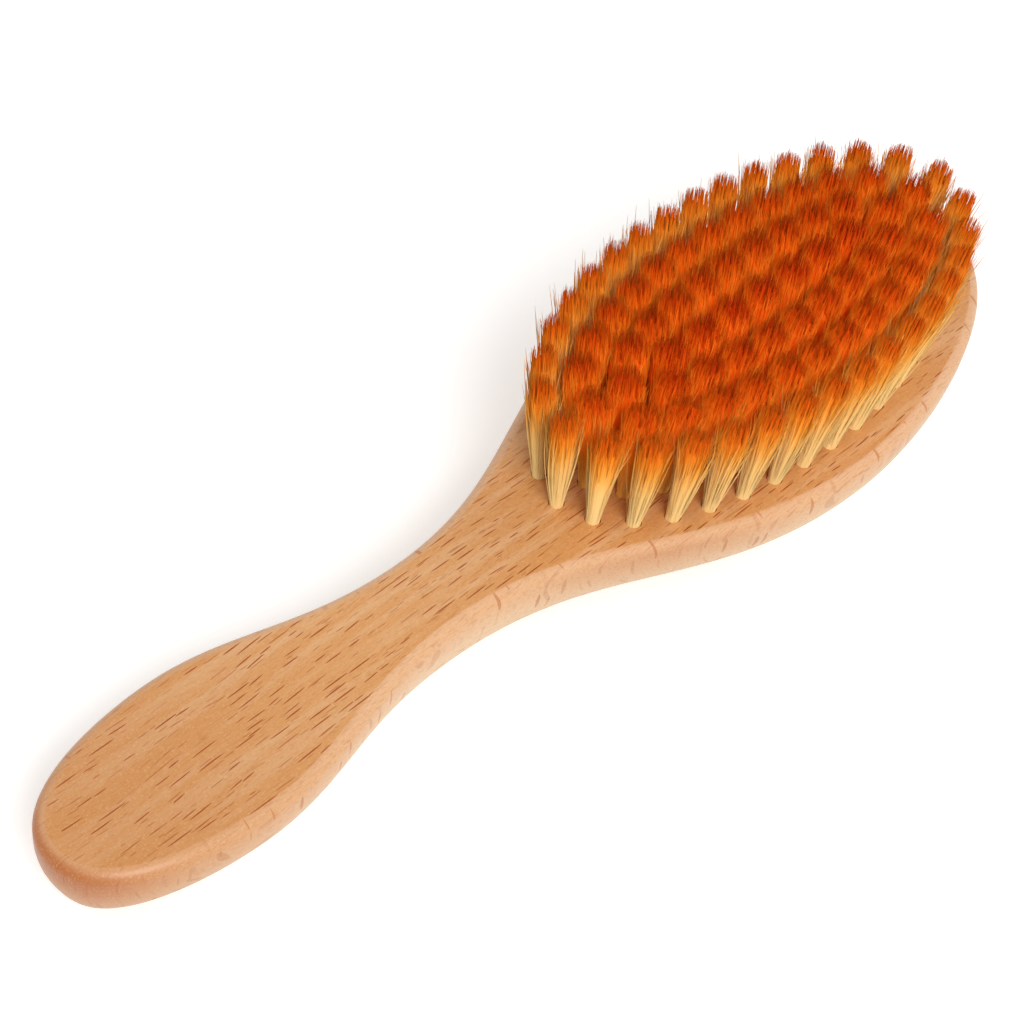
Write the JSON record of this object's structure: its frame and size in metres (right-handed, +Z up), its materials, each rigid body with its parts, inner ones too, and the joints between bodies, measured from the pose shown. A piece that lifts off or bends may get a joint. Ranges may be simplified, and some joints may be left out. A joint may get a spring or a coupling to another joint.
{
  "type": "beard brush",
  "caption": "One-piece wooden beard brush: slim flat handle, oval head with rings of soft two-tone bristle tufts set in drilled holes over metal anchors.",
  "frame": {"origin": "centre of the footprint on the back, at the level of the surface the brush lies on", "axes": "+X along the brush from the handle's end to the head's tip, +Z up out of the bristle face, +Y to the left when looking along +X"},
  "size_m": [0.18, 0.0486, 0.034],
  "materials": {
    "beech": "satin",
    "bristle": "satin",
    "anchor_wire": "satin"
  },
  "bodies": {
    "root": {"wooden_body": "beech", "outer_tufts_1": "bristle", "outer_tufts_2": "bristle", "outer_tufts_3": "bristle", "outer_tufts_4": "bristle", "outer_tufts_5": "bristle", "outer_tufts_6": "bristle", "outer_tufts_7": "bristle", "outer_tufts_8": "bristle", "second_tufts_1": "bristle", "second_tufts_2": "bristle", "second_tufts_3": "bristle", "second_tufts_4": "bristle", "second_tufts_5": "bristle", "second_tufts_6": "bristle", "third_tufts_1": "bristle", "third_tufts_2": "bristle", "third_tufts_3": "bristle", "third_tufts_4": "bristle", "centre_tufts_1": "bristle", "centre_tufts_2": "bristle", "outer_anchors": "anchor_wire", "second_anchors": "anchor_wire", "third_anchors": "anchor_wire", "centre_anchors": "anchor_wire"}
  },
  "joints": []
}
